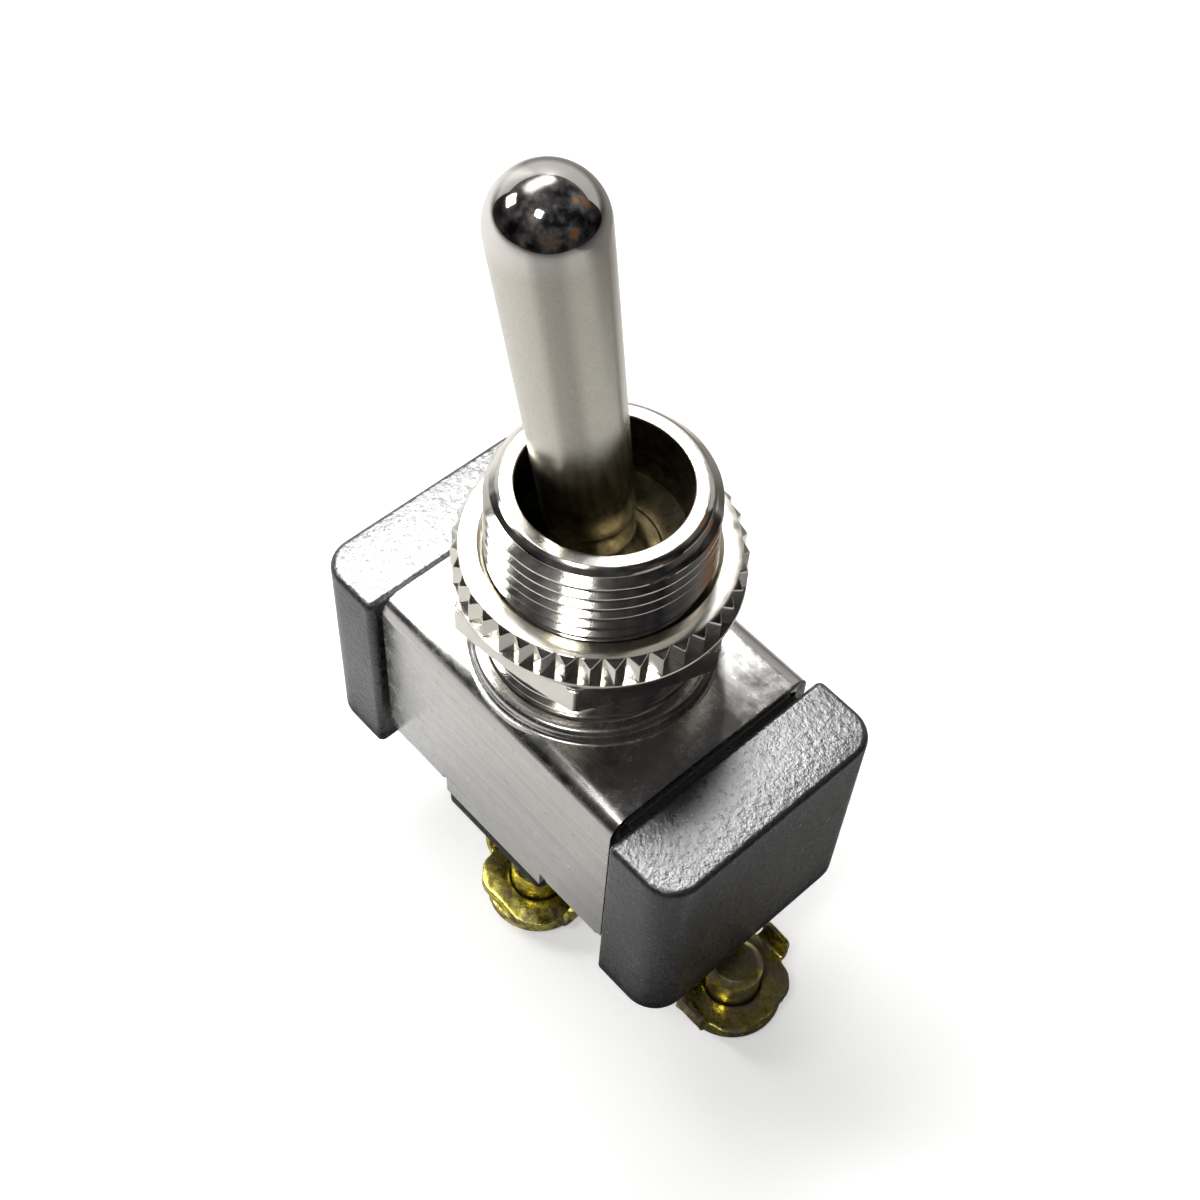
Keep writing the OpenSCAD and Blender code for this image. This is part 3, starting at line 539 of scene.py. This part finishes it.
def threaded_bushing():
    """The bushing with its helical thread.

    The section runs once round, up the outside and down the bore. Over the threaded length a row
    keeps its place in the 60-degree V while its height climbs one pitch a turn, so the rows follow
    a right-hand helix, and at the seam each joins the row one pitch further on. The V fades out
    over the first half pitch above the boss, and the lead chamfer's cone cuts it at the rim. Below
    the pivot the bore widens at +-Y to the cross pin's slots, whose sides are straight: the radius
    is the lesser of half width / |cos t| and reach / |sin t|, where that is more than the bore's.
    """
    rim_out = THREAD_RADIUS - LEAD_CHAMFER
    count = int(((RIM - BOSS_TOP) / THREAD_PITCH + 1) * THREAD_ROWS)
    throat = PIVOT + math.sqrt(SOCKET_RADIUS ** 2 - THROAT_RADIUS ** 2)
    cone_top = throat + BORE_RADIUS - THROAT_RADIUS
    socket_start = math.degrees(math.asin((throat - PIVOT) / SOCKET_RADIUS))
    outside = [
        line(STAKE_RADIUS, STAKE_BOTTOM, STAKE_RADIUS, FRAME_FACE, 3),
        line(STAKE_RADIUS, FRAME_FACE, NECK_RADIUS, FRAME_FACE, 2),
        line(NECK_RADIUS, FRAME_FACE, NECK_RADIUS, BOSS_TOP, 3),
        line(NECK_RADIUS, BOSS_TOP, THREAD_RADIUS, BOSS_TOP, 4),
    ]
    start = BOSS_TOP - THREAD_PITCH
    end = start + THREAD_PITCH / THREAD_ROWS * count
    thread = line(THREAD_RADIUS, start, THREAD_RADIUS, end, count)
    rounding = RIM - RIM_ROUND
    skirt = PIVOT - SOCKET_SKIRT
    mouth = SOCKET_RADIUS + SOCKET_FLARE
    rim_and_throat = [
        arc(rim_out - RIM_ROUND, rounding, RIM_ROUND, 45, 90, 4),
        line(rim_out - RIM_ROUND, RIM, BORE_RADIUS + RIM_ROUND, RIM, 4),
        arc(BORE_RADIUS + RIM_ROUND, rounding, RIM_ROUND, 90, 180, 6),
        line(BORE_RADIUS, rounding - 0.02, BORE_RADIUS, cone_top, 12),
        line(BORE_RADIUS, cone_top, THROAT_RADIUS, throat, 8),
    ]
    socket = [
        arc(0, PIVOT, SOCKET_RADIUS, socket_start, 0, 14),
        line(SOCKET_RADIUS, PIVOT - 0.05, SOCKET_RADIUS, skirt, 8),
        line(SOCKET_RADIUS, skirt, mouth, STAKE_BOTTOM, 8),
        line(mouth, STAKE_BOTTOM, STAKE_RADIUS, STAKE_BOTTOM, 6),
    ]
    section = np.concatenate([*outside, thread, *rim_and_throat, *socket])
    columns = 192
    t = np.arange(columns) * TAU / columns
    radii = np.repeat(section[:, :1], columns, axis=1)
    heights = np.repeat(section[:, 1:], columns, axis=1)
    first = sum(len(part) for part in outside)
    rows = slice(first, first + count)
    x = 1 - np.abs(2 * (np.arange(count)[:, None] / THREAD_ROWS % 1) - 1)
    vee = np.clip((x - THREAD_FLAT) / (1 - 2 * THREAD_FLAT), 0, 1)
    z = np.clip(heights[rows] + THREAD_PITCH * t / TAU, BOSS_TOP, rounding)
    heights[rows] = z
    fade = np.clip((z - BOSS_TOP) / (0.5 * THREAD_PITCH), 0, 1)
    cone = THREAD_RADIUS - np.clip(z - (RIM - LEAD_CHAMFER), 0, None)
    radii[rows] = np.minimum(THREAD_RADIUS - THREAD_DEPTH * vee * fade, cone)
    below = first + count + sum(len(part) for part in rim_and_throat)
    above_pivot = np.clip(heights[below:] - PIVOT, 0, PIN_SLOT_HALF)
    half = np.sqrt(PIN_SLOT_HALF ** 2 - above_pivot ** 2)
    side = half / np.maximum(np.abs(np.cos(t))[None, :], 1e-6)
    end = PIN_SLOT_REACH / np.maximum(np.abs(np.sin(t))[None, :], 1e-6)
    radii[below:] = np.maximum(radii[below:], np.minimum(side, end))
    seam = np.arange(len(section))
    seam[rows] = np.minimum(seam[rows] + THREAD_ROWS, first + count - 1)
    return ring_piece("threaded_bushing", radii, heights, bushing_nickel, 40, seam)


# ---- nuts ----


def hex_back_nut():
    """The hex nut, both faces chamfered.

    At angle t the outside is the least of six flats, flat / cos(t - the flat's own angle), and of
    the chamfer's cone, which runs from the flat's radius at the face to the corner's radius.
    """
    corner = HEX_FLAT / math.cos(math.radians(30))
    t = np.arange(384) * TAU / 384
    turn = (t - HEX_TURN) % (TAU / 6) - TAU / 12
    flats = HEX_FLAT / np.cos(turn)
    neighbour = HEX_FLAT / np.cos(TAU / 6 - np.abs(turn))
    sides = soft_min(flats, neighbour, 0.03)
    top = HEX_TOP - HEX_BOTTOM
    z = np.concatenate([
        np.linspace(0.02, HEX_CHAMFER, 10), np.linspace(HEX_CHAMFER + 0.15, 1.1, 3),
    ])
    z = np.concatenate([z, top - z[::-1]])
    face = np.minimum(z, top - z)
    cone = HEX_FLAT + (corner + 0.02 - HEX_FLAT) * np.clip(face / HEX_CHAMFER, 0, 1.5)
    outside = soft_min(sides[None, :], cone[:, None], EDGE_ROUND)
    bore = np.array([
        [NUT_BORE, NUT_LEAD], [NUT_BORE + NUT_LEAD, 0], [(NUT_BORE + HEX_FLAT) / 2 + 0.1, 0],
        [HEX_FLAT - 0.03, 0],
    ])
    upper = np.stack([bore[::-1, 0], top - bore[::-1, 1]], axis=1)
    lower_rows = np.repeat(bore[:, :1], len(t), axis=1)
    upper_rows = np.repeat(upper[:, :1], len(t), axis=1)
    radii = np.concatenate([lower_rows, outside, upper_rows])
    heights = np.concatenate([bore[:, 1], z, upper[:, 1]]) + HEX_BOTTOM
    heights = np.repeat(heights[:, None], len(t), axis=1)
    return ring_piece("hex_back_nut", radii, heights, nickel, 28)


def knurled_ring_nut():
    """The dress nut: V teeth over a plain flange, under a bevel.

    At an angle q from a crest a tooth's face is the chord between crest and root: the radius is
    crest * root * sin(half) / (crest * sin(q) + root * sin(half - q)), with half a tooth's angle
    as half. Each tooth takes 16 columns, and the bevel's cone cuts the crests with a slightly
    rounded edge.
    """
    per_tooth = 16
    t = np.arange(KNURL_COUNT * per_tooth) * TAU / (KNURL_COUNT * per_tooth)
    half = math.pi / KNURL_COUNT
    crest, root = RING_RADIUS - KNURL_INSET, RING_RADIUS - KNURL_DEPTH
    q = np.abs((t + half) % (2 * half) - half)
    chord = crest * root * math.sin(half) / (crest * np.sin(q) + root * np.sin(half - q))
    teeth = soft_min(chord, np.full_like(chord, crest + 0.005), 0.008)
    height = RING_TOP - HEX_TOP
    z = np.concatenate([
        [RING_FLANGE, RING_FLANGE + 0.05], np.linspace(RING_FLANGE + 0.3, 1.5, 4),
        np.linspace(height - RING_BEVEL - 0.05, height - 0.03, 12),
    ])
    cone = RING_RADIUS - (z - (height - RING_BEVEL))
    toothed = soft_min(teeth[None, :], cone[:, None], EDGE_ROUND)
    toothed[0] = np.minimum(toothed[0], crest)
    below = np.array([
        [NUT_BORE, NUT_LEAD], [NUT_BORE + NUT_LEAD, 0], [7.0, 0], [RING_RADIUS - 0.04, 0],
        [RING_RADIUS - 0.01, 0.01], [RING_RADIUS, 0.04], [RING_RADIUS, RING_FLANGE - 0.05],
        [RING_RADIUS - 0.02, RING_FLANGE - 0.01],
    ])
    edge = RING_RADIUS - RING_BEVEL
    above = np.array([
        [edge - 0.01, height - 0.008], [edge - 0.05, height], [6.7, height],
        [NUT_BORE + NUT_LEAD, height], [NUT_BORE, height - NUT_LEAD],
    ])
    radii = np.concatenate([
        np.repeat(below[:, :1], len(t), axis=1), toothed, np.repeat(above[:, :1], len(t), axis=1),
    ])
    heights = np.concatenate([below[:, 1], z, above[:, 1]]) + HEX_TOP
    heights = np.repeat(heights[:, None], len(t), axis=1)
    return ring_piece("knurled_ring_nut", radii, heights, nickel, 28)


# ---- handle ----


def turned_handle():
    """The bat as one turned piece: a section carried round the handle's own leaning axis.

    The section starts in the tail's blind bore, goes round the tail's end, up over the ball and
    the neck, along the tapered stem and over the round tip to its pole. A section point r across
    and s along the axis goes, at angle t and with a lean of a, to
    (r cos t cos a - s sin a, r sin t, r cos t sin a + s cos a), and up by the pivot's height.
    """
    ball_low = -math.degrees(math.acos(TAIL_RADIUS / BALL_RADIUS))
    ball_high = math.degrees(math.acos(HANDLE_NECK / BALL_RADIUS))
    section = np.concatenate([
        line(0, -SPRING_SEAT, TAIL_BORE, -SPRING_SEAT, 3),
        line(TAIL_BORE, -SPRING_SEAT, TAIL_BORE, -TAIL_REACH, 4),
        line(TAIL_BORE, -TAIL_REACH, TAIL_RADIUS - TAIL_ROUND, -TAIL_REACH, 2),
        arc(TAIL_RADIUS - TAIL_ROUND, TAIL_ROUND - TAIL_REACH, TAIL_ROUND, -90, 0, 6),
        line(TAIL_RADIUS, 2 * TAIL_ROUND - TAIL_REACH, TAIL_RADIUS, -BALL_RADIUS, 4),
        arc(0, 0, BALL_RADIUS, ball_low, ball_high, 40),
        line(HANDLE_NECK, 3.3, HANDLE_NECK, STEM_START - 0.4, 3),
        line(HANDLE_NECK, STEM_START - 0.4, STEM_RADIUS, STEM_START, 3),
        line(STEM_RADIUS, STEM_START, TIP_RADIUS, TIP_REACH - 0.2, 40),
        arc(0, TIP_REACH, TIP_RADIUS, 1, 90, 48),
    ])
    section[-1, 0] = 0
    columns = 128
    t = np.arange(columns) * TAU / columns
    along = np.repeat(section[:, 1:], columns, axis=1)
    across = section[:, :1] * np.cos(t)
    points = np.stack([
        across * math.cos(SWING) - along * math.sin(SWING),
        section[:, :1] * np.sin(t),
        across * math.sin(SWING) + along * math.cos(SWING) + PIVOT,
    ], axis=-1).reshape(-1, 3)
    faces = grid_faces(len(section), columns, False, True)
    piece = mesh_piece("turned_handle", points, faces, bat)
    merge_doubles(piece.data)
    piece.data.set_sharp_from_angle(angle=math.radians(40))
    return piece


# ---- terminals ----


def pressed_strap(name, node, across, material):
    """A terminal's sheet as it leaves the press: rolled edges, drawn-in ears, uneven faces.

    A voxel copy of the solid is relaxed. Beyond EAR_START from the strap's middle line a distance
    d becomes EAR_START + EAR_DRAW * (d - EAR_START). Each vertex then sinks along its normal by
    LUMP / 2 * (1 + the product of three slow sine waves along x, y and z).
    """
    raw = link("strap_form", nodes[node].data.copy())
    merge_doubles(raw.data, NEAR)
    voxels = raw.modifiers.new("voxels", "REMESH")
    voxels.mode = "VOXEL"
    voxels.voxel_size = VOXEL * MM
    relaxed = raw.modifiers.new("relaxed", "SMOOTH")
    relaxed.factor = 0.5
    relaxed.iterations = RELAXING
    finished = raw.evaluated_get(bpy.context.evaluated_depsgraph_get())
    mesh = bpy.data.meshes.new_from_object(finished)
    bpy.data.objects.remove(raw)
    count = len(mesh.vertices)
    points, normals = np.empty(count * 3), np.empty(count * 3)
    mesh.vertices.foreach_get("co", points)
    mesh.vertices.foreach_get("normal", normals)
    points, normals = points.reshape(-1, 3) / MM, normals.reshape(-1, 3)
    middle = (low(node, across) + high(node, across)) / 2
    off = points[:, across] - middle
    beyond = np.clip(np.abs(off) - EAR_START, 0, None)
    drawn = np.minimum(np.abs(off), EAR_START) + EAR_DRAW * beyond
    points[:, across] = middle + np.sign(off) * drawn
    wave = np.prod(np.sin(points * (2.1, 2.6, 3.1) + (0.4, 1.3, 2.2)), axis=1)
    points -= normals * (LUMP / 2 * (1 + wave))[:, None]
    mesh.vertices.foreach_set("co", (points * MM).ravel())
    mesh.name = name
    mesh.materials.clear()
    mesh.materials.append(material)
    smooth(mesh)
    place_piece(link(name, mesh), "housing", node)


place_piece(threaded_bushing(), "housing", "bushing")
place_piece(hex_back_nut(), "hex_nut", "hex_nut")
place_piece(knurled_ring_nut(), "ring_nut", "ring_nut")
place_piece(turned_handle(), "handle", "bat_handle")
softened("moulded_base", "base", "housing", 0.08)
softened("folded_frame", "frame", "housing", 0.12)
pressed_strap("end_strap", "end_terminal", 1, dull_brass)
pressed_strap("common_strap", "common_terminal", 0, brass)
softened("end_binding_screw", "end_screw", "end_screw", 0.15)
softened("common_binding_screw", "common_screw", "common_screw", 0.15)


# ---- stage, light and camera ----

CAMERA_LENS = 55.27
CAMERA_SHIFT = (-0.0012, 0.0034)
CAMERA_PLACE = (39.445, -40.566, 81.856 + BOSS_TOP)
CAMERA_AZIMUTH = math.radians(-46.094)
CAMERA_ELEVATION = math.radians(54.556)
CAMERA_ROLL = math.radians(4.442)

# the sheet of paper, in millimetres from the switch's axis
PAPER_FRONT = 420
PAPER_FLAT = 130
PAPER_BEND = 90
PAPER_TOP = 320
PAPER_HALF = 420
PAPER_AWAY = math.radians(133.9)
PAPER_WHITE = (0.88, 0.88, 0.87)
PAPER_SHADE = (0.2, 0.19, 0.175)
PAPER_LIFT = 0.45
WALL_GLOW = 0.45
FRONT_SHADOW = 0.5

ROOM_TONES = (
    (0.38, (0.01, 0.01, 0.012)), (0.5, (0.07, 0.068, 0.07)), (0.6, (0.17, 0.165, 0.17)),
    (0.68, (0.45, 0.2, 0.08)),
)

WINDOW_PLACE = (-148, 45, 267)
WINDOW_AIM = (0, 0, 10)


def camera():
    """The camera, at the front right end, looking down at about 55 degrees."""
    data = bpy.data.cameras.new("camera")
    data.sensor_width = 36
    data.lens = CAMERA_LENS
    data.shift_x, data.shift_y = CAMERA_SHIFT
    data.clip_start = 0.005
    data.clip_end = 10
    piece = bpy.data.objects.new("camera", data)
    turn = (
        Matrix.Rotation(CAMERA_AZIMUTH + TAU / 4, 4, "Z")
        @ Matrix.Rotation(TAU / 4 - CAMERA_ELEVATION, 4, "X")
        @ Matrix.Rotation(CAMERA_ROLL, 4, "Z")
    )
    piece.matrix_world = Matrix.Translation([c * MM for c in CAMERA_PLACE]) @ turn
    bpy.context.scene.collection.objects.link(piece)
    bpy.context.scene.camera = piece


def lamp(name, place, target, size, watts):
    """A rectangular soft box at a place, facing a target, all in millimetres."""
    data = bpy.data.lights.new(name, "AREA")
    data.shape = "RECTANGLE"
    data.size, data.size_y = size[0] * MM, size[1] * MM
    data.energy = watts
    piece = bpy.data.objects.new(name, data)
    way = Vector(target) - Vector(place)
    piece.rotation_euler = way.to_track_quat("-Z", "Y").to_euler()
    piece.location = [c * MM for c in place]
    bpy.context.scene.collection.objects.link(piece)
    return piece


def level(degrees):
    """A level unit vector at an azimuth."""
    return (math.cos(math.radians(degrees)), math.sin(math.radians(degrees)), 0)


def background_paper():
    """Matt white paper, with a look of its own to the camera and in glossy reflections.

    To the camera it is lifted a little near the switch, and to full white far from it. Glossy
    rays see a faint glow up its wall, and three darker places: a shadow that widens before the
    switch, one beyond the switch's end, and the far right.
    """
    r = Recipe("background_paper")
    paths = r.add("ShaderNodeLightPath")
    glossy = paths.outputs["Is Glossy Ray"]
    ahead = r.along(level(-43))
    slant = r.math("DIVIDE", r.along(level(47)), ahead)
    slant = r.math("MAXIMUM", slant, r.math("MULTIPLY", slant, -1.0))
    front = r.math(
        "MULTIPLY", r.rise(slant, 0.75, 0.3), r.rise(ahead, 2 * MM, 6 * MM), FRONT_SHADOW)
    x, y = r.along(level(0)), r.along(level(90))
    beside = r.math(
        "MULTIPLY", r.rise(x, 11 * MM, 14 * MM), r.rise(x, 30 * MM, 23 * MM),
        r.rise(y, -18 * MM, -10 * MM))
    right = r.rise(r.along(level(85)), 45 * MM, 80 * MM)
    dark = r.math("MULTIPLY", r.math("MAXIMUM", front, beside, right), glossy)
    r.set(colour=r.mix(dark, PAPER_WHITE, PAPER_SHADE), rough=0.9)
    wall = r.math("MULTIPLY", r.rise(r.along(UP), 0, 60 * MM), glossy, WALL_GLOW)
    lift = r.math("MAXIMUM", r.rise(r.distance(), 40 * MM, 220 * MM), PAPER_LIFT)
    lift = r.math("MULTIPLY", lift, paths.outputs["Is Camera Ray"])
    r.set(glow=(1, 1, 1), glow_strength=r.math("ADD", lift, wall))
    return r.material


def paper_sweep():
    """A sheet of paper that lies under the switch and rises in a quarter circle behind it."""
    ground = low("end_screw", 2) - 0.05
    back = PAPER_FLAT + PAPER_BEND
    profile = np.concatenate([
        line(-PAPER_FRONT, ground, PAPER_FLAT, ground, 6),
        arc(PAPER_FLAT, ground + PAPER_BEND, PAPER_BEND, -90, 0, 24),
        line(back, ground + PAPER_BEND + 2, back, ground + PAPER_TOP, 4),
    ])
    across = np.linspace(-PAPER_HALF, PAPER_HALF, 9)
    ahead_x, ahead_y = math.cos(PAPER_AWAY), math.sin(PAPER_AWAY)
    x = profile[:, None, 0] * ahead_x - across[None, :] * ahead_y
    y = profile[:, None, 0] * ahead_y + across[None, :] * ahead_x
    z = np.repeat(profile[:, 1:], len(across), axis=1)
    points = np.stack([x, y, z], axis=-1).reshape(-1, 3)
    faces = grid_faces(len(profile), len(across), False, False)[:, ::-1]
    mesh_piece("paper_sweep", points, faces, background_paper())


def studio_world():
    """White to the camera, and to other rays a dim room that is lighter overhead."""
    world = bpy.data.worlds.new("studio")
    bpy.context.scene.world = world
    n = Nodes(world, "Generated")
    camera_ray = n.add("ShaderNodeLightPath").outputs["Is Camera Ray"]
    room = n.ramp(n.texture(1.9, 3.5, 0.6), *ROOM_TONES)
    overhead = n.rise(n.along(UP), 0.35, 0.75, 0.3)
    back = n.tree.nodes["Background"]
    n.put(n.mix(camera_ray, room, (1, 1, 1)), back.inputs["Color"])
    n.put(n.math("MAXIMUM", camera_ray, overhead), back.inputs["Strength"])


camera()
paper_sweep()
studio_world()
# one window as two lamps: a wide one for matt light, and a small bright one for reflections
window = lamp("window", WINDOW_PLACE, WINDOW_AIM, (346, 117), 0.62)
window.visible_glossy = False
glint = lamp("window_glint", WINDOW_PLACE, WINDOW_AIM, (210, 75), 6.4)
glint.visible_diffuse = False
lamp("left", (-190, -120, 150), (0, 0, 0), (70, 70), 0.22)
lamp("front", (40, -130, 240), (0, 0, 0), (50, 50), 0.16)
bpy.context.scene.view_settings.view_transform = "Standard"
